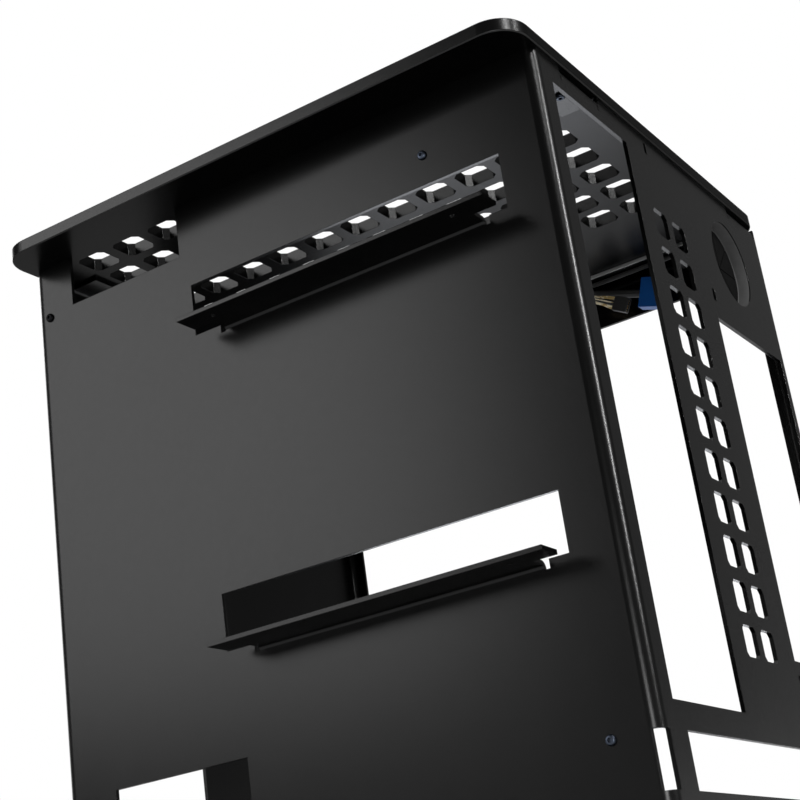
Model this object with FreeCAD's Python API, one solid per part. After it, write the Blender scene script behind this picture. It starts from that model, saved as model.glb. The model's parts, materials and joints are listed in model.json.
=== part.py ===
"""Aluminium computer case with its side covers off, in millimetres.

One folded sheet makes the rear wall, the cable-side tray and the front wall. It stands between two
thick plates on four turned feet. +Z is up, the front faces -Y and the tray is on the +X side. The
origin is on the floor, under the middle of the plates.
"""
import FreeCAD, Part
import math
import os

V = FreeCAD.Vector
X_AXIS = V(1, 0, 0)
Y_AXIS = V(0, 1, 0)
Z_AXIS = V(0, 0, 1)

# Top and bottom plates
plate_width = 440.0
plate_depth = 459.0
plate_thickness = 10.0
plate_corner_radius = 25.0
plate_edge_chamfer = 0.8
bay_height = 505.0

# Vents through the top plate
roof_vent_size = 26.0
roof_vent_corner = 4.0
roof_vent_pitch = 35.5
roof_vent_rows = 8
roof_vent_columns = 11
roof_vent_inset = 57.0

# Folded sheet
sheet = 3.0
wall_inset = 3.0
tray_inset = 35.0
corner_bend = 5.5
post_depth = 15.0
small_bend = 2.5
tab_width = 55.0
tab_depth = 28.0
tab_from_tray = 40.0
tab_from_open_side = 12.0
tab_leg = 4.0
tab_relief = 2.0

# Tray: two cable slots with ledges, two notches and a corner slot
slot_length = 262.0
slot_height = 40.0
slot_from_rear = 38.0
upper_slot_below_roof = 66.0
lower_slot_level = 165.5
ledge_reach = 34.0
ledge_rear_gap = 1.0
ledge_front_gap = 10.0
ledge_neck_inset = 17.0
ledge_wing_from_tray = 14.0
ledge_leg = 0.5
ledge_relief = 4.0
ledge_hole = 4.2
ledge_hole_from_tray = 23.0
ledge_hole_from_slot_end = 29.0
ledge_hole_pitch = 199.0
roof_notch_length = 107.0
roof_notch_height = 40.0
roof_notch_from_rear = 308.0
floor_notch_length = 115.0
floor_notch_height = 93.0
floor_notch_from_rear = 292.5
corner_slot_on_tray = 7.0
corner_slot_on_rear = 11.0
low_slot_level = 18.5
low_slot_height = 35.0

# Rear wall: board window, supply window, low slot, vents and a hose hole, from the tray side
board_window_from_tray = 23.0
board_window_width = 115.0
board_window_level = 71.0
board_window_below_roof = 18.0
supply_window_from_tray = 256.0
supply_window_width = 134.0
supply_window_level = 116.5
supply_window_below_roof = 122.5
low_slot_from_edges = 36.0
rear_vent_width = 23.5
rear_vent_height = 22.0
rear_vent_corner = 3.0
rear_vent_columns = 2
rear_vent_rows = 11
rear_vent_from_tray = 176.0
rear_vent_column_pitch = 33.0
rear_vent_level = 121.5
rear_vent_below_roof = 71.5
hose_hole_diameter = 73.0
hose_collar_depth = 8.0
hose_collar_wall = 2.5
hose_hole_from_tray = 318.0
hose_hole_below_roof = 57.0
fixing_slot_width = 6.0
fixing_slot_height = 10.0
fixing_slot_offset = 15.0
hook_slot_width = 4.0
hook_slot_height = 9.0
hook_slot_from_tray = 174.0
hook_slot_below_roof = 13.0

# Front wall: fan window, then the switch and ports near the open side
front_window_from_tray = 38.0
switch_from_open_side = 93.0
port_row_below_roof = 40.0
port_gap = 0.3

# Rail under the roof on the open side
rail_width = 38.0
rail_height = 35.0
rail_end_gap = 0.5

# Feet
foot_height = 22.0
foot_diameter = 42.0
foot_inset = 45.0
pad_diameter = 36.0
pad_thickness = 3.0

# Square push switch in the front wall
switch_size = 16.0
switch_corner = 1.5
switch_bezel_size = 19.0
switch_bezel_height = 1.8
switch_length = 22.0
switch_clip_size = 22.0
switch_clip_thickness = 3.0
switch_clip_gap = 0.15
button_size = 10.8
button_shoulder_size = 12.4
button_shoulder = 2.0
button_stand_out = 1.2
button_travel = 1.5
button_gap = 0.3
button_lip = 1.5

# Ports on their board
usb_width = 13.2
usb_height = 5.8
usb_length = 17.0
usb_wall = 0.6
usb_tongue_thickness = 1.6
usb_tongue_length = 9.0
usb_from_open_side = (40.0, 62.0)
jack_from_open_side = 17.0
jack_body = 9.0
jack_length = 14.0
jack_nose_diameter = 6.0
jack_bore = 3.6
board_from_open_side = 9.0
board_length = 68.0
board_depth = 31.0
board_thickness = 1.6
bracket_height = 20.0

# Leads that run under the rail, in order from the open side inwards
lead_diameter = {"usb": 7.0, "audio": 5.0, "switch": 4.0}
lead_sides = 8
lead_gap = 1.2
lead_from_open_side = 12.5
lead_bend_radius = 40.0
board_exit_from_open_side = {"usb": 34.0, "audio": 56.0}
lead_straight = {"usb": 16.0, "audio": 16.0, "switch": 30.0}
lead_reach = {"usb": 74.0, "audio": 84.0, "switch": 122.0}
lead_drop_from_rear = {"usb": 154.0, "audio": 166.0, "switch": 42.0}
lead_plug_from_rear = {"usb": 106.0, "audio": 130.0, "switch": 25.0}
lead_fall = {"usb": 16.0, "audio": 20.0, "switch": 39.0}
saddle_width = 8.0
saddle_thickness = 1.5
saddle_foot = 4.5
saddle_from_rear = (66.0, 206.0, 286.0)

# Plugs at the rear ends of the leads: across, along the lead, and in height
plug_width = {"usb": 10.0, "audio": 5.4, "switch": 5.4}
plug_length = {"usb": 20.0, "audio": 14.0, "switch": 15.0}
plug_height = {"usb": 27.0, "audio": 13.0, "switch": 8.0}

# Places that follow from the sizes above
floor_top = foot_height + plate_thickness
roof = floor_top + bay_height
x_tray = plate_width / 2 - tray_inset
x_open = -plate_width / 2
y_rear = plate_depth / 2 - wall_inset
y_front = -y_rear
body_width = x_tray - x_open
z_ports = roof - port_row_below_roof
y_front_inner = y_front + sheet
board_top = z_ports - usb_height / 2
rail_underside = roof - sheet
lead_end_y = y_front_inner + board_depth
slot_levels = (bay_height - upper_slot_below_roof - slot_height, lower_slot_level)
board_window_height = bay_height - board_window_level - board_window_below_roof
supply_window_height = bay_height - supply_window_level - supply_window_below_roof
rear_vent_pitch = (bay_height - rear_vent_level - rear_vent_below_roof) / (rear_vent_rows - 1)


def rounded_path(points, radius):
    """Edges of an open run of straight lines, each corner rounded by the same radius."""
    edges = []
    start = points[0]
    for before, corner, after in zip(points, points[1:], points[2:]):
        into = (corner - before).normalize()
        out = (after - corner).normalize()
        half_turn = into.getAngle(out) / 2
        setback = radius * math.tan(half_turn)
        to_centre = (out - into).normalize()
        middle = corner + to_centre * (radius / math.cos(half_turn) - radius)
        arc_start = corner - into * setback
        arc_end = corner + out * setback
        edges.append(Part.LineSegment(start, arc_start).toShape())
        edges.append(Part.Arc(arc_start, middle, arc_end).toShape())
        start = arc_end
    edges.append(Part.LineSegment(start, points[-1]).toShape())
    return edges


def offset_run(points, distance, axis):
    """The same run of lines moved to the left of its direction, seen against the axis."""
    sides = [axis.cross(b - a).normalize() for a, b in zip(points, points[1:])]
    moved = [points[0] + sides[0] * distance]
    for corner, one, two in zip(points[1:], sides, sides[1:]):
        moved.append(corner + (one + two) * (distance / (1 + one.dot(two))))
    moved.append(points[-1] + sides[-1] * distance)
    return moved


def folded_sheet(points, inner_radius, axis, sweep):
    """Sheet bent along a run of lines on its outer face, then drawn out along sweep."""
    inner_points = offset_run(points, sheet, axis)
    outer = rounded_path(points, inner_radius + sheet)
    inner = rounded_path(inner_points, inner_radius)
    ends = [
        Part.LineSegment(points[0], inner_points[0]).toShape(),
        Part.LineSegment(points[-1], inner_points[-1]).toShape(),
    ]
    wire = Part.Wire(Part.__sortEdges__(outer + inner + ends))
    return Part.Face(wire).extrude(sweep)


def block(x_range, y_range, z_range):
    """Straight block between two values on each axis."""
    low = V(min(x_range), min(y_range), min(z_range))
    high = V(max(x_range), max(y_range), max(z_range))
    size = high - low
    return Part.makeBox(size.x, size.y, size.z, low)


def prism(points, sweep):
    """Straight prism on a closed outline of points."""
    return Part.Face(Part.makePolygon(points + points[:1])).extrude(sweep)


def vent_prism(centre, across, along, width, height, corner, sweep):
    """Prism of a vent: a rectangle with cut corners about its centre, drawn out along sweep."""
    a, b = width / 2, height / 2
    outline = [
        (a - corner, -b), (a, corner - b), (a, b - corner), (a - corner, b),
        (corner - a, b), (-a, b - corner), (-a, corner - b), (corner - a, -b),
    ]
    return prism([centre + across * u + along * w for u, w in outline], sweep)


def turned(profile, base, axis):
    """Solid turned from (radius, height) points about an axis through base."""
    side = X_AXIS if abs(axis.dot(X_AXIS)) < 0.5 else Y_AXIS
    points = [base + side * radius + axis * height for radius, height in profile]
    face = Part.Face(Part.makePolygon(points + points[:1]))
    return face.revolve(base, axis, 360)


def bore(diameter, depth, base, axis):
    """Straight round hole to be cut."""
    return Part.makeCylinder(diameter / 2, depth, base, axis)


def plate_blank(level):
    """Thick plate with round corners and chamfered rims, its underside at level."""
    x, y = plate_width / 2, plate_depth / 2
    corners = [V(x, -y, level), V(x, y, level), V(-x, y, level), V(-x, -y, level)]
    start = V(0, -y, level)
    outline = Part.Wire(rounded_path([start] + corners + [start], plate_corner_radius))
    blank = Part.Face(outline).extrude(Z_AXIS * plate_thickness).removeSplitter()
    rims = [edge for edge in blank.Edges if edge.BoundBox.ZLength < plate_edge_chamfer]
    return blank.makeChamfer(plate_edge_chamfer, rims)


def foot_places():
    """Middle of each foot on the floor."""
    x = plate_width / 2 - foot_inset
    y = plate_depth / 2 - foot_inset
    return [V(side_x * x, side_y * y, 0) for side_y in (-1, 1) for side_x in (-1, 1)]


def top_plate():
    """Top plate with its field of vents."""
    tools = []
    y_first = -roof_vent_pitch * (roof_vent_columns - 1) / 2
    for row in range(roof_vent_rows):
        x = plate_width / 2 - roof_vent_inset - row * roof_vent_pitch
        for column in range(roof_vent_columns):
            centre = V(x, y_first + column * roof_vent_pitch, roof - 1)
            tools.append(vent_prism(
                centre, X_AXIS, Y_AXIS, roof_vent_size, roof_vent_size,
                roof_vent_corner, Z_AXIS * (plate_thickness + 2)))
    return plate_blank(roof).cut(tools)


def tab_starts():
    """Low X end of both tabs of a wall."""
    return x_open + tab_from_open_side, x_tray - tab_from_tray - tab_width


def wall_tab(x_start, wall_y, inward, edge_z, up):
    """Tab bent inwards from the top or bottom edge of the rear or front wall."""
    leg = small_bend + sheet + tab_leg
    points = [
        V(x_start, wall_y, edge_z - up * leg),
        V(x_start, wall_y, edge_z),
        V(x_start, wall_y + inward * tab_depth, edge_z),
    ]
    return folded_sheet(points, small_bend, X_AXIS * (-inward * up), X_AXIS * tab_width)


def tab_gap(x_start, wall_y, inward, edge_z, up):
    """Wall cut away where a tab is bent, with the relief at both of its ends."""
    leg = small_bend + sheet + tab_leg
    return block((x_start - tab_relief, x_start + tab_width + tab_relief),
                 (wall_y, wall_y + inward * sheet), (edge_z, edge_z - up * leg))


def hose_collar():
    """Collar drawn inwards around the hose hole."""
    inner = hose_hole_diameter / 2
    outer = inner + hose_collar_wall
    profile = [(inner, 0), (inner, hose_collar_depth), (outer, hose_collar_depth), (outer, 0)]
    base = V(x_tray - hose_hole_from_tray, y_rear, roof - hose_hole_below_roof)
    return turned(profile, base, Y_AXIS * -1)


def slot_ends():
    """Rear and front end of the cable slots."""
    return y_rear - slot_from_rear, y_rear - slot_from_rear - slot_length


def neck_ends():
    """Rear and front end of a ledge where it is bent."""
    rear, front = slot_ends()
    return (rear - ledge_rear_gap - ledge_neck_inset,
            front + ledge_front_gap + ledge_neck_inset)


def ledge(level):
    """Ledge bent outwards at a slot's lower edge: a neck at the bend and a longer outer part."""
    rear, front = slot_ends()
    neck_rear, neck_front = neck_ends()
    z_top = floor_top + level
    leg = small_bend + sheet + ledge_leg
    points = [
        V(x_tray - sheet, neck_front, z_top - leg),
        V(x_tray - sheet, neck_front, z_top),
        V(x_tray + ledge_reach, neck_front, z_top),
    ]
    neck = folded_sheet(points, small_bend, Y_AXIS, Y_AXIS * (neck_rear - neck_front))
    outer = block((x_tray + ledge_wing_from_tray, x_tray + ledge_reach),
                  (front + ledge_front_gap, rear - ledge_rear_gap), (z_top - sheet, z_top))
    y_first = rear - ledge_hole_from_slot_end
    holes = [
        bore(ledge_hole, 3 * sheet, V(x_tray + ledge_hole_from_tray, y, z_top - 2 * sheet), Z_AXIS)
        for y in (y_first, y_first - ledge_hole_pitch)
    ]
    return neck.fuse(outer).cut(holes)


def through_tray(y_range, z_range):
    """Block that passes through the tray."""
    return block((x_tray - 2 * sheet, x_tray + sheet), y_range, z_range)


def tray_cuts():
    """Slots and notches of the tray."""
    rear, front = slot_ends()
    cuts = []
    for level in slot_levels:
        low = floor_top + level
        bend_low = low - small_bend - sheet - ledge_leg
        cuts.append(through_tray((front, rear), (low, low + slot_height)))
        neck_rear, neck_front = neck_ends()
        cuts.append(through_tray(
            (neck_front - ledge_relief, neck_rear + ledge_relief), (bend_low, low)))
    roof_rear = y_rear - roof_notch_from_rear
    cuts.append(through_tray(
        (roof_rear, roof_rear - roof_notch_length), (roof - roof_notch_height, roof + sheet)))
    floor_rear = y_rear - floor_notch_from_rear
    cuts.append(through_tray(
        (floor_rear, floor_rear - floor_notch_length),
        (floor_top - sheet, floor_top + floor_notch_height)))
    low = floor_top + low_slot_level
    cuts.append(block(
        (x_tray - corner_slot_on_rear, x_tray + sheet),
        (y_rear - corner_slot_on_tray, y_rear + sheet), (low, low + low_slot_height)))
    return cuts


def through_wall(wall_y, from_tray, width, level, height):
    """Block that passes through the rear or front wall."""
    x_side = x_tray - from_tray
    z_low = floor_top + level
    return block((x_side, x_side - width), (wall_y - 2 * sheet, wall_y + 2 * sheet),
                 (z_low, z_low + height))


def rear_cuts():
    """Windows, vents and holes of the rear wall."""
    cuts = [
        through_wall(y_rear, board_window_from_tray, board_window_width,
                     board_window_level, board_window_height),
        through_wall(y_rear, supply_window_from_tray, supply_window_width,
                     supply_window_level, supply_window_height),
        through_wall(y_rear, low_slot_from_edges, body_width - 2 * low_slot_from_edges,
                     low_slot_level, low_slot_height),
        through_wall(y_rear, hook_slot_from_tray - hook_slot_width / 2, hook_slot_width,
                     bay_height - hook_slot_below_roof, hook_slot_height),
    ]
    y_start = y_rear - 2 * sheet
    deep = Y_AXIS * (4 * sheet)
    for column in range(rear_vent_columns):
        x = x_tray - rear_vent_from_tray - column * rear_vent_column_pitch
        for row in range(rear_vent_rows):
            centre = V(x, y_start, floor_top + rear_vent_level + row * rear_vent_pitch)
            cuts.append(vent_prism(centre, X_AXIS, Z_AXIS, rear_vent_width, rear_vent_height,
                                   rear_vent_corner, deep))
    hose = V(x_tray - hose_hole_from_tray, y_start, roof - hose_hole_below_roof)
    cuts.append(bore(hose_hole_diameter, 4 * sheet, hose, Y_AXIS))
    window_top = supply_window_level + supply_window_height
    for level in (window_top + fixing_slot_offset,
                  supply_window_level - fixing_slot_offset - fixing_slot_height / 2):
        cuts.append(through_wall(y_rear, supply_window_from_tray, fixing_slot_width,
                                 level, fixing_slot_height))
    return cuts


def front_cuts():
    """Fan window, switch hole and port openings of the front wall."""
    cuts = [through_wall(y_front, front_window_from_tray, board_window_width,
                         board_window_level, board_window_height)]
    y_start = y_front - 2 * sheet
    cuts.append(switch_prism(switch_size + 2 * port_gap, -2 * sheet, 2 * sheet))
    jack = V(x_open + jack_from_open_side, y_start, z_ports)
    cuts.append(bore(jack_nose_diameter + 2 * port_gap, 4 * sheet, jack, Y_AXIS))
    half_width = usb_width / 2 + port_gap
    half_height = usb_height / 2 + port_gap
    for from_open in usb_from_open_side:
        x = x_open + from_open
        cuts.append(block((x - half_width, x + half_width), (y_start, y_front + 2 * sheet),
                          (z_ports - half_height, z_ports + half_height)))
    return cuts


def wrap_sheet():
    """Rear wall, tray and front wall in one folded sheet, with its tabs and ledges."""
    points = [
        V(x_open, y_front + post_depth, floor_top),
        V(x_open, y_front, floor_top),
        V(x_tray, y_front, floor_top),
        V(x_tray, y_rear, floor_top),
        V(x_open, y_rear, floor_top),
        V(x_open, y_rear - post_depth, floor_top),
    ]
    body = folded_sheet(points, corner_bend, Z_AXIS, Z_AXIS * bay_height)
    tabs = [
        (x_start, wall_y, inward, edge_z, up)
        for x_start in tab_starts()
        for wall_y, inward in ((y_rear, -1), (y_front, 1))
        for edge_z, up in ((roof, 1), (floor_top, -1))
    ]
    body = body.cut([tab_gap(*tab) for tab in tabs] + tray_cuts() + rear_cuts() + front_cuts())
    added = [wall_tab(*tab) for tab in tabs] + [ledge(level) for level in slot_levels]
    return body.fuse(added + [hose_collar()]).removeSplitter()


def left_top_rail():
    """Angle under the roof along the open side, between the two posts."""
    y_start = y_front + tab_depth + rail_end_gap
    length = y_rear - tab_depth - rail_end_gap - y_start
    points = [
        V(x_open, y_start, roof - rail_height),
        V(x_open, y_start, roof),
        V(x_open + rail_width, y_start, roof),
    ]
    return folded_sheet(points, small_bend, Y_AXIS, Y_AXIS * length)


def feet():
    """Four turned feet under the bottom plate."""
    radius = foot_diameter / 2
    profile = [
        (0, pad_thickness), (radius, pad_thickness), (radius, foot_height), (0, foot_height)]
    return Part.makeCompound([turned(profile, place, Z_AXIS) for place in foot_places()])


def foot_pads():
    """Rubber disc under each foot."""
    radius = pad_diameter / 2
    profile = [(0, 0), (radius, 0), (radius, pad_thickness), (0, pad_thickness)]
    return Part.makeCompound([turned(profile, place, Z_AXIS) for place in foot_places()])


def switch_place():
    """Middle of the push switch on the outer face of the front wall."""
    return V(x_open + switch_from_open_side, y_front, z_ports)


def switch_prism(size, start, end):
    """Square prism with cut corners along the switch, between two depths behind the wall's face."""
    centre = switch_place() + Y_AXIS * start
    return vent_prism(centre, X_AXIS, Z_AXIS, size, size, switch_corner, Y_AXIS * (end - start))


def button_seat():
    """Depth of the lip's inner face and of the floor of the switch, behind the wall's face."""
    lip_inner = button_lip - switch_bezel_height
    floor = lip_inner + button_gap + button_shoulder + button_travel + button_gap
    return lip_inner, floor


def switch_body():
    """Body of the push switch with its bezel outside the wall and a lip that keeps the button."""
    lip_inner, floor = button_seat()
    bezel = switch_prism(switch_bezel_size, -switch_bezel_height, 0)
    body = switch_prism(switch_size, 0, switch_length)
    well = switch_prism(button_shoulder_size + 2 * button_gap, lip_inner, floor)
    mouth = switch_prism(button_size + 2 * button_gap, -switch_bezel_height, lip_inner)
    return body.fuse(bezel).cut([well, mouth]).removeSplitter()


def switch_clip():
    """Frame that clamps the switch from inside the wall."""
    end = sheet + switch_clip_thickness
    frame = switch_prism(switch_clip_size, sheet, end)
    return frame.cut(switch_prism(switch_size + 2 * switch_clip_gap, sheet, end))


def power_button():
    """Button with the shoulder that the bezel's lip holds back."""
    lip_inner, _ = button_seat()
    shoulder_front = lip_inner + button_gap
    face = -switch_bezel_height - button_stand_out
    cap = switch_prism(button_size, face, shoulder_front)
    shoulder = switch_prism(button_shoulder_size, shoulder_front, shoulder_front + button_shoulder)
    return cap.fuse(shoulder).removeSplitter()


def usb_port(from_open):
    """Metal shell of a port with its contact tongue, its mouth flush with the wall."""
    x = x_open + from_open
    half = usb_width / 2
    shell = block((x - half, x + half), (y_front, y_front + usb_length),
                  (z_ports - usb_height / 2, z_ports + usb_height / 2))
    mouth_half = half - usb_wall
    mouth_height = usb_height / 2 - usb_wall
    mouth_depth = usb_length - usb_wall
    mouth = block((x - mouth_half, x + mouth_half), (y_front, y_front + mouth_depth),
                  (z_ports - mouth_height, z_ports + mouth_height))
    tongue_top = z_ports + mouth_height
    tongue_half = mouth_half - usb_wall
    tongue = block((x - tongue_half, x + tongue_half),
                   (y_front + mouth_depth - usb_tongue_length, y_front + mouth_depth),
                   (tongue_top - usb_tongue_thickness - usb_wall, tongue_top - usb_wall))
    return shell.cut(mouth).fuse(tongue)


def audio_jack():
    """Jack body on the board with a round nose through the wall."""
    x = x_open + jack_from_open_side
    half = jack_body / 2
    y_body = y_front_inner + port_gap
    body = block((x - half, x + half), (y_body, y_body + jack_length), (board_top, z_ports + half))
    nose_length = y_body - y_front
    nose = bore(jack_nose_diameter, nose_length, V(x, y_front, z_ports), Y_AXIS)
    hole = bore(jack_bore, nose_length + jack_length * 0.8, V(x, y_front, z_ports), Y_AXIS)
    return body.fuse(nose).cut(hole).removeSplitter()


def io_board():
    """Circuit board that carries the ports."""
    x = x_open + board_from_open_side
    return block((x, x + board_length), (y_front_inner + port_gap, lead_end_y),
                 (board_top - board_thickness, board_top))


def io_bracket():
    """Angle behind the front wall that carries the board."""
    x = x_open + board_from_open_side
    z_seat = board_top - board_thickness
    points = [
        V(x, lead_end_y, z_seat),
        V(x, y_front_inner, z_seat),
        V(x, y_front_inner, z_seat - bracket_height),
    ]
    return folded_sheet(points, small_bend, X_AXIS, X_AXIS * board_length)


def lead_rows():
    """Place of each lead across the rail."""
    places = {}
    x = x_open + lead_from_open_side
    for name, diameter in lead_diameter.items():
        places[name] = x + diameter / 2
        x += diameter + lead_gap
    return places


def lead_route(name):
    """Points of a lead: from the front, up to the rail, along it and down to its plug."""
    radius = lead_diameter[name] / 2
    x_rail = lead_rows()[name]
    z_rail = rail_underside - port_gap - radius
    if name == "switch":
        out = switch_place() + Y_AXIS * switch_length
    else:
        out = V(x_open + board_exit_from_open_side[name], lead_end_y, board_top + port_gap + radius)
    return [
        out,
        out + Y_AXIS * lead_straight[name],
        V(x_rail, out.y + lead_reach[name], z_rail),
        V(x_rail, y_rear - lead_drop_from_rear[name], z_rail),
        V(x_rail, y_rear - lead_plug_from_rear[name], z_rail - lead_fall[name]),
    ]


def lead(name):
    """Lead along its route: straight runs joined by tangent arcs, smaller where a run is short."""
    points = lead_route(name)
    radius = lead_diameter[name] / 2
    edges = []
    start = points[0]
    for before, corner, after in zip(points, points[1:], points[2:]):
        turn = (corner - before).getAngle(after - corner)
        setback = 0.45 * min((corner - before).Length, (after - corner).Length)
        bend = min(lead_bend_radius, setback / math.tan(turn / 2))
        print(f"{name} lead: bend radius {bend:.1f}")
        arc = rounded_path([before, corner, after], bend)[1]
        edges.append(Part.LineSegment(start, arc.Vertexes[0].Point).toShape())
        edges.append(arc)
        start = arc.Vertexes[-1].Point
    edges.append(Part.LineSegment(start, points[-1]).toShape())
    path = Part.Wire(edges)
    corners = []
    for side in range(lead_sides):
        angle = 2 * math.pi * (side + 0.5) / lead_sides
        corners.append(points[0] + V(radius * math.cos(angle), 0, radius * math.sin(angle)))
    section = Part.makePolygon(corners + corners[:1])
    tube = path.makePipeShell([section], True, False)
    drawn = Part.Face(section).Area * path.Length
    print(f"{name} lead: length {path.Length:.0f}, volume ratio {tube.Volume / drawn:.4f}")
    return tube


def plug(name):
    """Header plug at the rear end of a lead, in line with the lead's last run, with an open mouth."""
    width, length, height = plug_width[name], plug_length[name], plug_height[name]
    before, end = lead_route(name)[-2:]
    along = (end - before).normalize()
    up = X_AXIS.cross(along)
    wall = width / 6

    def outline(inset, at):
        """Four corners of the plug's section, inset on all sides, at a distance along it."""
        x, z = width / 2 - inset, height / 2 - inset
        signs = ((-1, -1), (1, -1), (1, 1), (-1, 1))
        return [end + along * at + X_AXIS * (x * a) + up * (z * b) for a, b in signs]

    body = prism(outline(0, 0), along * length)
    return body.cut(prism(outline(wall, length * 0.6), along * length))


def lead_saddles():
    """Straps under the rail that hold the leads up against it."""
    rows = lead_rows()
    x_low = min(rows[name] - lead_diameter[name] / 2 for name in rows) - port_gap
    x_high = max(rows[name] + lead_diameter[name] / 2 for name in rows) + port_gap
    z_foot = rail_underside - saddle_thickness
    z_in = rail_underside - max(lead_diameter.values()) - 2 * port_gap
    z_out = z_in - saddle_thickness
    solids = []
    for from_rear in saddle_from_rear:
        y = y_rear - from_rear
        outline = [
            (x_low - saddle_thickness - saddle_foot, rail_underside), (x_low, rail_underside),
            (x_low, z_in), (x_high, z_in), (x_high, rail_underside),
            (x_high + saddle_thickness + saddle_foot, rail_underside),
            (x_high + saddle_thickness + saddle_foot, z_foot),
            (x_high + saddle_thickness, z_foot), (x_high + saddle_thickness, z_out),
            (x_low - saddle_thickness, z_out), (x_low - saddle_thickness, z_foot),
            (x_low - saddle_thickness - saddle_foot, z_foot),
        ]
        solids.append(prism([V(x, y, z) for x, z in outline], Y_AXIS * saddle_width))
    return Part.makeCompound(solids)


def all_parts():
    """Every piece of the case by its node name."""
    parts = {
        "wrap_sheet": wrap_sheet(),
        "top_plate": top_plate(),
        "bottom_plate": plate_blank(foot_height),
        "left_top_rail": left_top_rail(),
        "feet": feet(),
        "foot_pads": foot_pads(),
        "switch_body": switch_body(),
        "switch_clip": switch_clip(),
        "power_button": power_button(),
        "audio_jack": audio_jack(),
        "io_board": io_board(),
        "io_bracket": io_bracket(),
        "lead_saddles": lead_saddles(),
    }
    for index, from_open in enumerate(usb_from_open_side, start=1):
        parts[f"usb_port_{index}"] = usb_port(from_open)
    for name in lead_diameter:
        parts[f"{name}_lead"] = lead(name)
        parts[f"{name}_plug"] = plug(name)
    return parts


os.makedirs("parts", exist_ok=True)
for node, shape in all_parts().items():
    shape.exportStep(f"parts/{node}.step")
    print(f"{node}: {len(shape.Solids)} solid, valid {shape.isValid()}, {shape.Volume:.0f} mm3")
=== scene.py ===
import bmesh
import bpy
import json
import math
from mathutils import Matrix, Vector


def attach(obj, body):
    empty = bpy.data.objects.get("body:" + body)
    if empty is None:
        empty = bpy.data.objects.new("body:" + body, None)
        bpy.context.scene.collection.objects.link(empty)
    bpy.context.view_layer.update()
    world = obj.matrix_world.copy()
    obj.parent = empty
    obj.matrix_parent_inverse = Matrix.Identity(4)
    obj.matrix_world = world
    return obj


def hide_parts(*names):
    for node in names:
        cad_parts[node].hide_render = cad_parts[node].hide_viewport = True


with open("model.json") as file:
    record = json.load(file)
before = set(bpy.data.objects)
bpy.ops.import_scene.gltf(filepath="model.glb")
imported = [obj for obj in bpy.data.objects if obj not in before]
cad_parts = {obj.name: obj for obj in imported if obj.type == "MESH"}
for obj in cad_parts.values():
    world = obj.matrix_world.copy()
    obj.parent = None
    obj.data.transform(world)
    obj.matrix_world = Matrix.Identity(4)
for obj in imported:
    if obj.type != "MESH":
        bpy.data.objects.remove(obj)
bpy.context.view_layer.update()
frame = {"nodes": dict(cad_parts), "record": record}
MM = 0.001
TURN = 2 * math.pi
SIDEWAYS = Vector((1, 0, 0))
UP = (0, 0, 1)
DOWN = (0, 0, -1)


class Value:
    """A shader socket that takes part in Python arithmetic."""

    def __init__(self, nodes, socket):
        self.nodes = nodes
        self.socket = socket

    def _math(self, operation, first, second):
        return self.nodes.node("ShaderNodeMath", {"operation": operation}, {0: first, 1: second})

    def __add__(self, other):
        return self._math("ADD", self, other)

    def __radd__(self, other):
        return self._math("ADD", other, self)

    def __sub__(self, other):
        return self._math("SUBTRACT", self, other)

    def __rsub__(self, other):
        return self._math("SUBTRACT", other, self)

    def __mul__(self, other):
        return self._math("MULTIPLY", self, other)

    def __rmul__(self, other):
        return self._math("MULTIPLY", other, self)

    def __gt__(self, other):
        return self._math("GREATER_THAN", self, other)


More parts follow.
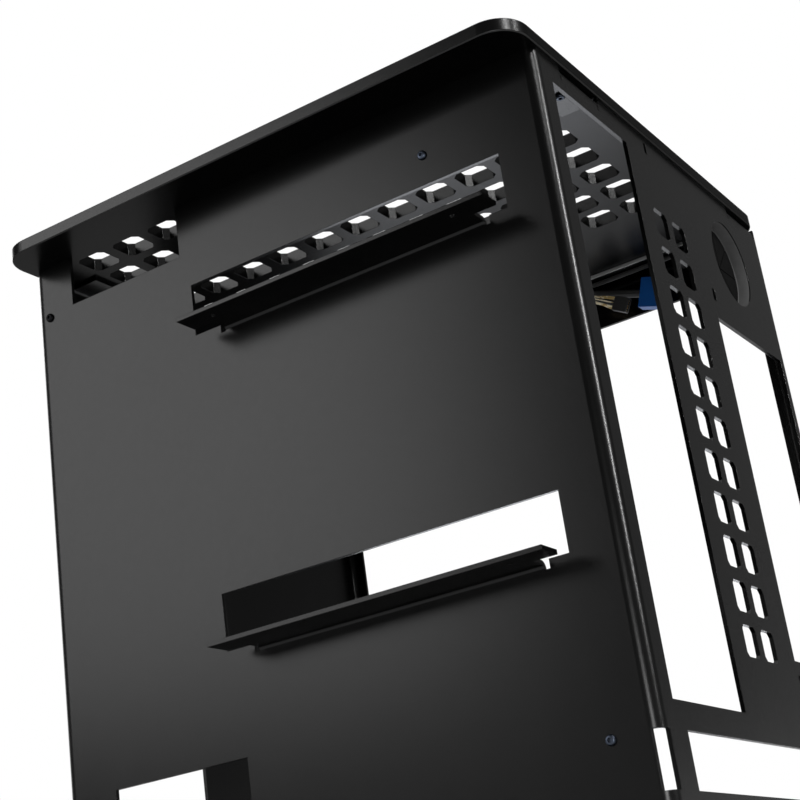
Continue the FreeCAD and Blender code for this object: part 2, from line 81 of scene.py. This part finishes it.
class Nodes:
    """Nodes of a material or a world, all made by one method."""

    def __init__(self, owner, output):
        self.owner = owner
        owner.use_nodes = True
        self.tree = owner.node_tree
        self.tree.nodes.clear()
        self.output = self.tree.nodes.new(output)

    def node(self, kind, settings, sockets, out=0):
        """Adds a node, sets it, then fills its sockets with values or links."""
        made = self.tree.nodes.new(kind)
        for key, value in settings.items():
            setattr(made, key, value)
        for key, value in sockets.items():
            if isinstance(value, Value):
                self.tree.links.new(value.socket, made.inputs[key])
            else:
                made.inputs[key].default_value = value
        return Value(self, made.outputs[out])

    def place(self):
        """The point of the surface in metres."""
        return self.node("ShaderNodeTexCoord", {}, {}, "Object")

    def part_of(self, vector, axis):
        """One of a vector's three numbers."""
        return self.node("ShaderNodeSeparateXYZ", {}, {"Vector": vector}, axis)

    def facing_up(self, least_rise=0.7):
        """1 where the surface looks upwards, else 0."""
        normal = self.node("ShaderNodeNewGeometry", {}, {}, "Normal")
        return self.part_of(normal, "Z") > least_rise

    def noise(self, scale, detail=2.0):
        """Soft noise between 0 and 1, scale in cells to the metre."""
        return self.node("ShaderNodeTexNoise", {}, {
            "Vector": self.place(), "Scale": scale, "Detail": detail})

    def ease(self, value, start, end):
        """Soft step from 0 at the start to 1 at the end."""
        return self.node("ShaderNodeMapRange", {"interpolation_type": "SMOOTHSTEP"}, {
            "Value": value, "From Min": start, "From Max": end})

    def blend(self, factor, one, two):
        """Colour between two colours."""
        return self.node("ShaderNodeMix", {"data_type": "RGBA"}, {0: factor, 6: one, 7: two}, 2)

    def mix(self, factor, one, two):
        """Shader between two shaders."""
        return self.node("ShaderNodeMixShader", {}, {0: factor, 1: one, 2: two})

    def eased(self, radius):
        """Normal that rounds sharp edges by a radius."""
        return self.node("ShaderNodeBevel", {"samples": 4}, {"Radius": radius})

    def bump(self, height, strength, distance, normal=None):
        """Normal roughened by a height."""
        sockets = {"Height": height, "Strength": strength, "Distance": distance}
        if normal:
            sockets["Normal"] = normal
        return self.node("ShaderNodeBump", {}, sockets)

    def close(self, shader):
        """Links a shader to the output and hands back the material or world."""
        self.tree.links.new(shader.socket, self.output.inputs["Surface"])
        return self.owner

    def surface(self, **sockets):
        """Closes a material with one principled shader."""
        names = {key.replace("_", " "): value for key, value in sockets.items()}
        return self.close(self.node("ShaderNodeBsdfPrincipled", {}, names))


def finish_nodes(name):
    """Empty nodes of a new material."""
    return Nodes(bpy.data.materials.new(name), "ShaderNodeOutputMaterial")


def rgba(grey_or_colour):
    """Four numbers of a colour given as one grey or three numbers."""
    if isinstance(grey_or_colour, (int, float)):
        return (grey_or_colour, grey_or_colour, grey_or_colour, 1)
    return (*grey_or_colour, 1)


# Finishes
def anodised(name, dark, light, rough, glancing=1.0, highlight_edge=None):
    """Black anodised aluminium: blasted grain, faint cloudiness, eased edges, dust on upward faces,
    and beyond a given edge a painted highlight of light bare-metal colour with a rougher finish.
    """
    made = finish_nodes(name)
    cloud = made.noise(7.0, 3.0)
    grain = made.noise(2600.0)
    mottle = made.noise(430.0)
    dusty = made.facing_up()
    dust = made.blend(mottle, rgba(0.026), rgba(0.042))
    clean = made.blend(cloud * 0.4 + grain * 0.2 + mottle * 0.4, rgba(dark), rgba(light))
    colour = made.blend(dusty, clean, dust)
    roughness = cloud * 0.06 + grain * 0.08 + (rough - 0.07) + dusty * 0.25
    if highlight_edge is not None:
        # Painted highlight: beyond the edge the colour turns light like bare metal, standing in for
        # the light on the rail's free edge.
        painted_highlight = made.part_of(made.place(), "X") > highlight_edge
        colour = made.blend(painted_highlight, colour, rgba(0.6))
        roughness = roughness + painted_highlight * 0.28
    return made.surface(
        Base_Color=colour, Metallic=1.0 - dusty * 0.85, Roughness=roughness,
        Specular_IOR_Level=0.15, Specular_Tint=rgba(glancing),
        Normal=made.bump(grain, 0.12, 0.2 * MM, made.eased(0.5 * MM)))


def moulded(name, dark, light, rough):
    """Moulded plastic with a fine spark texture."""
    made = finish_nodes(name)
    cloud = made.noise(60.0)
    spark = made.noise(4200.0, 1.0)
    return made.surface(
        Base_Color=made.blend(cloud, rgba(dark), rgba(light)), Roughness=spark * 0.12 + rough,
        Normal=made.bump(spark, 0.2, 0.1 * MM))


def plated(name, colour, rough):
    """Plated metal with a faintly clouded shine."""
    made = finish_nodes(name)
    cloud = made.noise(300.0, 3.0)
    tone = made.blend(cloud, rgba([c * 0.85 for c in colour]), rgba(colour))
    return made.surface(Base_Color=tone, Metallic=1.0, Roughness=cloud * 0.12 + rough)


def jacket():
    """Matt jacket of a lead with a faint bloom."""
    made = finish_nodes("lead_jacket")
    bloom = made.noise(140.0, 3.0)
    return made.surface(
        Base_Color=made.blend(bloom, rgba(0.012), rgba(0.026)), Roughness=bloom * 0.15 + 0.5,
        Normal=made.bump(made.noise(1800.0), 0.15, 0.1 * MM))


def rubber(name, dark, light, shine):
    """Rubber with dusty patches."""
    made = finish_nodes(name)
    dust = made.noise(180.0, 4.0)
    return made.surface(
        Base_Color=made.blend(dust, rgba(dark), rgba(light)), Roughness=dust * 0.15 + 0.72,
        Specular_IOR_Level=shine,
        Normal=made.bump(made.noise(2200.0), 0.25, 0.2 * MM))


def circuit_board():
    """Dark varnished board with darker track areas."""
    made = finish_nodes("circuit_board")
    tracks = made.noise(420.0, 1.0)
    return made.surface(
        Base_Color=made.blend(tracks, rgba((0.008, 0.012, 0.009)), rgba((0.02, 0.032, 0.022))),
        Roughness=tracks * 0.15 + 0.35)


def coloured_wires():
    """Thin insulated wires in two colours."""
    made = finish_nodes("coloured_wires")
    which = made.noise(260.0, 0.0)
    pale = made.blend(which > 0.5, rgba((0.82, 0.74, 0.55)), rgba((0.5, 0.36, 0.14)))
    return made.surface(Base_Color=pale, Roughness=which * 0.1 + 0.35)


# Where the rail's free edge begins, past which its colour carries a painted highlight
RAIL_HIGHLIGHT_EDGE = -182.6 * MM
finishes = {
    "anodised_sheet": anodised("anodised_sheet", 0.016, 0.026, 0.26),
    "anodised_plate": anodised("anodised_plate", 0.022, 0.031, 0.24, glancing=0.6),
    "button_metal": anodised("button_metal", 0.03, 0.05, 0.3),
    "nickel": plated("nickel", (0.62, 0.61, 0.58), 0.2),
    "black_plastic": moulded("black_plastic", 0.012, 0.02, 0.42),
    "blue_plastic": moulded("blue_plastic", (0.0015, 0.045, 0.2), (0.003, 0.085, 0.32), 0.3),
    "lead_jacket": jacket(),
    "rubber": rubber("pad_rubber", 0.012, 0.03, 0.3),
    "board": circuit_board(),
}
# Rail finish whose free edge has a painted highlight of light bare-metal colour
rail_finish = anodised("rail_with_painted_highlight", 0.016, 0.026, 0.26, highlight_edge=RAIL_HIGHLIGHT_EDGE)
screw_steel = plated("screw_steel", (0.05, 0.06, 0.08), 0.3)
black_screw = plated("black_screw", (0.008, 0.008, 0.009), 0.42)
gilt = plated("gilt_contacts", (0.9, 0.66, 0.28), 0.22)
wires = coloured_wires()
sleeve_rubber = rubber("sleeve_rubber", 0.03, 0.05, 0.2)
# Near-black rubber without shine for the hose membrane: a real membrane, its darkness painted shade in
# the hose hole
shade_black_rubber = rubber("shade_black_rubber", 0.003, 0.006, 0.0)

for part in frame["record"]["subparts"]:
    shown = frame["nodes"][part["node"]]
    shown.data.materials.clear()
    shown.data.materials.append(finishes[part["material_slot"]])
frame["nodes"]["left_top_rail"].data.materials[0] = rail_finish


# Forms
SIX_FLATS = "six flats"
SHARP_ANGLE = math.radians(32)


def band(form, one, two):
    """Faces between two rings of the same number of points."""
    for step in range(len(one)):
        form.faces.new((one[step - 1], one[step], two[step], two[step - 1]))


def turned(form, rows, place, axis, steps):
    """Adds a turned shape from rows of a radius and a height, some of them with six flats."""
    turn = Vector(axis).to_track_quat("Z", "Y").to_matrix()
    rings = []
    for radius, height, *flats in rows:
        ring = []
        for step in range(steps):
            angle = TURN * step / steps
            reach = radius
            if SIX_FLATS in flats:
                reach = radius / math.cos(angle % (TURN / 6) - TURN / 12)
            point = turn @ Vector((reach * math.cos(angle), reach * math.sin(angle), height))
            ring.append(form.verts.new((Vector(place) + point) * MM))
        rings.append(ring)
    for low, high in zip(rings, rings[1:]):
        band(form, low, high)
    form.faces.new(rings[0])
    form.faces.new(rings[-1])


def seat(made):
    """Puts a piece into the scene, on the fixed body."""
    bpy.context.collection.objects.link(made)
    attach(made, "root")


def carried(name, form, finish, replaced=None):
    """Makes a piece of the case from a form."""
    bmesh.ops.recalc_face_normals(form, faces=form.faces)
    mesh = bpy.data.meshes.new(name)
    form.to_mesh(mesh)
    form.free()
    mesh.polygons.foreach_set("use_smooth", [True] * len(mesh.polygons))
    mesh.set_sharp_from_angle(angle=SHARP_ANGLE)
    mesh.materials.append(finish)
    made = bpy.data.objects.new(name, mesh)
    seat(made)
    if replaced:
        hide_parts(replaced)


# Screws and feet: the faces that they sit on and where they stand, in millimetres
TRAY_FACE = 185.0
ROOF_TAB = 534.0
FLOOR_TAB = 35.0
FLOOR = 32.0
tray_places = [(TRAY_FACE, 132.5, 493), (TRAY_FACE, 193.8, 84)]
front_tray_place = (TRAY_FACE, -212.5, 494)
tab_places = [(x, y) for x in (117.5, -180.5) for y in (211.5, -211.5)]
foot_places = [(x, y) for x in (175.0, -175.0) for y in (184.5, -184.5)]


def button_heads(name, places, axis, head, below, finish=screw_steel):
    """Socket screws with domed heads, their ends standing out below the sheet."""
    form = bmesh.new()
    radius = head / 2
    height = head * 0.3
    key = head * 0.19
    rows = [
        (radius * 0.45, -below), (radius * 0.5, -below + 0.4), (radius * 0.5, -0.05),
        (radius, -0.05), (radius, height * 0.25), (radius * 0.93, height * 0.62),
        (radius * 0.78, height * 0.9), (radius * 0.6, height),
        (key, height, SIX_FLATS), (key, height * 0.35, SIX_FLATS),
    ]
    for place in places:
        turned(form, rows, place, axis, steps=24)
    carried(name, form, finish)


def turned_feet():
    """Feet with broken edges, a turned ring and a small shoulder under the floor plate."""
    form = bmesh.new()
    rows = [
        (19.5, 3), (20.4, 3.3), (21, 4.2), (21, 8.6), (20.3, 9.2), (20.3, 10),
        (21, 10.6), (21, 19.4), (20.5, 20.2), (19.2, 20.6), (19.2, 22),
    ]
    for x, y in foot_places:
        turned(form, rows, (x, y, 0), UP, steps=64)
    carried("turned_feet", form, finishes["anodised_plate"], "feet")


button_heads("tray_screws", tray_places, SIDEWAYS, head=7.0, below=5.5)
button_heads("front_tray_screw", [front_tray_place], SIDEWAYS, head=7.0, below=5.5, finish=black_screw)
button_heads("roof_tab_screws", [(x, y, ROOF_TAB) for x, y in tab_places], DOWN, head=8.0, below=5.0)
button_heads("floor_tab_screws", [(x, y, FLOOR_TAB) for x, y in tab_places], UP, head=8.0, below=5.0)
button_heads("foot_screws", [(x, y, FLOOR) for x, y in foot_places], UP, head=9.0, below=8.0)
turned_feet()


# Last run of each lead, as in the part's source: where it leaves the rail, and where its plug starts
last_runs = {
    "usb": ((-204.0, 72.5, 530.2), (-204.0, 120.5, 514.2)),
    "audio": ((-196.8, 60.5, 531.2), (-196.8, 96.5, 511.2)),
    "switch": ((-191.1, 184.5, 531.7), (-191.1, 201.5, 492.7)),
}

# Contact pins of each plug: half the gap between the two rows, pins to a row, first and last depth
contact_rows = {
    "usb": (1.6, 10, 12.0, 18.5),
    "audio": (0.95, 5, 8.4, 13.4),
    "switch": (0.95, 3, 9.0, 14.3),
}
CONTACT_PITCH = 2.2
WIRE_COUNT = 8
WIRE_RADIUS = 0.65


def run_frame(name):
    """End of a lead, its direction there and the plug's upright direction."""
    before, end = (Vector(point) for point in last_runs[name])
    way = (end - before).normalized()
    return end, way, SIDEWAYS.cross(way)


def plug_contacts():
    """Gilt contact pins inside the mouths of the plugs."""
    form = bmesh.new()
    for name, (aside, count, start, stop) in contact_rows.items():
        end, way, upright = run_frame(name)
        rows = [(0.42, start - 0.3), (0.42, stop - 0.5), (0.2, stop)]
        for side in (-aside, aside):
            for index in range(count):
                rise = (index - (count - 1) / 2) * CONTACT_PITCH
                turned(form, rows, end + SIDEWAYS * side + upright * rise, way, steps=8)
    carried("plug_contacts", form, gilt)


def wire_sleeve():
    """Shrunk sleeve where the thin wires leave the audio lead's jacket."""
    form = bmesh.new()
    end, way, _ = run_frame("audio")
    rows = [(2.5, -31), (3.1, -30.4), (3.4, -29), (3.4, -24), (3.1, -23), (2.4, -23)]
    turned(form, rows, end, way, steps=24)
    carried("wire_sleeve", form, finishes["rubber"])


def audio_wires():
    """Thin wires between the audio lead's jacket and its plug."""
    data = bpy.data.curves.new("audio_wires", "CURVE")
    data.dimensions = "3D"
    data.bevel_depth = WIRE_RADIUS * MM
    data.bevel_resolution = 3
    data.use_fill_caps = True
    end, way, upright = run_frame("audio")
    for index in range(WIRE_COUNT):
        angle = TURN * index / WIRE_COUNT
        around = SIDEWAYS * math.cos(angle) + upright * math.sin(angle)
        aside = SIDEWAYS * (1.7 if math.cos(angle) > 0 else -1.7)
        rise = upright * (4.8 * math.sin(angle))
        points = [
            end - way * 25 + around * 2.6,
            end - way * 20 + around * 3.0,
            end - way * 11 + around * (3.8 + 0.6 * math.sin(5 * angle)),
            end - way * 4 + aside + rise,
            end + way * 0.6 + aside + rise,
        ]
        spline = data.splines.new("NURBS")
        spline.points.add(len(points) - 1)
        for knot, point in zip(spline.points, points):
            knot.co = (*(point * MM), 1)
        spline.order_u = 3
        spline.use_endpoint_u = True
    data.materials.append(wires)
    seat(bpy.data.objects.new("audio_wires", data))


# Middle of the hose hole and the rear wall's outer face, in millimetres
HOSE_X = -133
HOSE_Z = 480
REAR_FACE = 226.5


def hose_point(radius, angle, depth):
    """Point at a radius and an angle round the hose hole, at a depth behind the wall's face."""
    aside = radius * math.cos(angle)
    rise = radius * math.sin(angle)
    return Vector((HOSE_X + aside, REAR_FACE - depth, HOSE_Z + rise)) * MM


def hose_grommet():
    """Rubber sleeve that lines the collar of the hose hole and grips its inner end."""
    form = bmesh.new()
    profile = [
        (34.6, 11), (35.7, 9.6), (35.9, 1.2), (36.1, 0.8), (36.45, 1.0), (36.45, 8.05), (38.9, 8.05),
        (38.9, 10.6), (37.8, 12), (34.6, 12)]
    steps = 72
    angles = [TURN * step / steps for step in range(steps)]
    rings = []
    for radius, depth in profile:
        rings.append([form.verts.new(hose_point(radius, angle, depth)) for angle in angles])
    for one, two in zip(rings, rings[1:] + rings[:1]):
        band(form, one, two)
    carried("hose_grommet", form, sleeve_rubber)


def hose_membrane():
    """Rubber petals between slits, which a hose pushes apart, in near-black rubber without shine that
    is painted shade in the hose hole.
    """
    form = bmesh.new()
    petals = 8
    steps = 8
    slit = 0.12
    rim = 34.9
    tip = 1.2
    face_depths = (10.2, 11.6)
    for petal in range(petals):
        layers = []
        for depth in face_depths:
            shares = [(step + slit) / (steps + 2 * slit) for step in range(steps + 1)]
            layer = [hose_point(rim, TURN * (petal + share) / petals, depth) for share in shares]
            layer.append(hose_point(tip, TURN * (petal + 0.5) / petals, depth))
            layers.append([form.verts.new(point) for point in layer])
        front, back = layers
        form.faces.new(front)
        form.faces.new(back)
        band(form, front, back)
    carried("hose_membrane", form, shade_black_rubber)


plug_contacts()
wire_sleeve()
audio_wires()
hose_grommet()
hose_membrane()


# Stage, lights and camera, in metres
def softbox(name, place, aim, size, power, colour=(1, 1, 1)):
    """Area light at a place, turned towards a point."""
    data = bpy.data.lights.new(name, "AREA")
    data.shape = "RECTANGLE"
    data.size, data.size_y = size
    data.energy = power
    data.color = colour
    lamp = bpy.data.objects.new(name, data)
    lamp.location = place
    lamp.rotation_euler = (Vector(aim) - Vector(place)).to_track_quat("-Z", "Y").to_euler()
    bpy.context.collection.objects.link(lamp)


def stage_floor():
    """Pale floor that can be seen through from below."""
    mesh = bpy.data.meshes.new("stage_floor")
    form = bmesh.new()
    bmesh.ops.create_grid(form, x_segments=1, y_segments=1, size=40.0)
    form.to_mesh(mesh)
    form.free()
    floor = bpy.data.objects.new("stage_floor", mesh)
    bpy.context.collection.objects.link(floor)
    made = finish_nodes("stage_floor")
    pale = made.node("ShaderNodeBsdfDiffuse", {}, {"Color": rgba(0.62)})
    clear = made.node("ShaderNodeBsdfTransparent", {}, {})
    back = made.node("ShaderNodeNewGeometry", {}, {}, "Backfacing")
    mesh.materials.append(made.close(made.mix(back, pale, clear)))
    floor.location.z = -0.5 * MM


def studio_world():
    """Grey studio, pale at the horizon, with a white backdrop where the photograph looks."""
    made = Nodes(bpy.data.worlds.new("studio_world"), "ShaderNodeOutputWorld")
    way = made.node("ShaderNodeTexCoord", {}, {}, "Generated")
    backdrop_middle = (-0.766, -0.643, 0.0)
    towards = made.node("ShaderNodeVectorMath", {"operation": "DOT_PRODUCT"},
                        {0: way, 1: backdrop_middle}, "Value")
    backdrop = made.ease(towards, 0.68, 0.75)
    horizon = made.ease(made.part_of(way, "Z"), 0.11, 0.02)
    colour = made.blend(backdrop + horizon, rgba(0.15), rgba(1.0))
    seen = made.node("ShaderNodeLightPath", {}, {}, "Is Camera Ray")
    shiny = made.node("ShaderNodeLightPath", {}, {}, "Is Glossy Ray")
    through = made.node("ShaderNodeLightPath", {}, {}, "Is Transmission Ray")
    studio = made.node("ShaderNodeBackground", {}, {"Color": colour})
    soft = made.node("ShaderNodeBackground", {}, {"Color": rgba(0.6)})
    bpy.context.scene.world = made.close(made.mix(seen + shiny + through, soft, studio))


def photo_camera():
    """Camera at the photograph's viewing angle."""
    data = bpy.data.cameras.new("photo_camera")
    data.sensor_width = 36.0
    data.lens = 73.87
    data.clip_start = 0.01
    camera = bpy.data.objects.new("photo_camera", data)
    place = (1.05667, 0.59447, -0.04826)
    right = Vector((-0.5409, 0.8302, -0.1348))
    up = Vector((0.2272, 0.2985, 0.9270))
    back = Vector((0.8099, 0.4707, -0.3501))
    turn = Matrix((right, up, back)).transposed().to_4x4()
    camera.matrix_world = Matrix.Translation(place) @ turn
    bpy.context.collection.objects.link(camera)
    bpy.context.scene.camera = camera


stage_floor()
studio_world()
photo_camera()
softbox("tray_light", (1.6, -1.2, 1.03), aim=(0.18, -0.05, 0.35), size=(1.1, 1.1), power=15.3)
softbox("bend_strip", (-0.06, 2.06, 1.08), aim=(0.18, 0.2, 0.35), size=(0.1, 0.9), power=38)
softbox("corner_strip", (0.8, 2.02, 2.1), aim=(0.18, 0.2, 0.54), size=(0.5, 0.5), power=32)
softbox("roof_light", (-0.57, -0.2, 0.06), aim=(-0.57, -0.19, 1.0), size=(0.3, 0.45), power=2.4,
        colour=(0.9, 0.93, 1.0))
softbox("harness_light", (1.25, 0.7, 0.08), aim=(-0.2, 0.1, 0.51), size=(0.4, 0.4), power=9)
softbox("open_side_light", (-1.2, -1.6, 1.9), aim=(-0.1, 0.0, 0.35), size=(1.2, 1.2), power=9)
bpy.context.scene.view_settings.view_transform = "Standard"
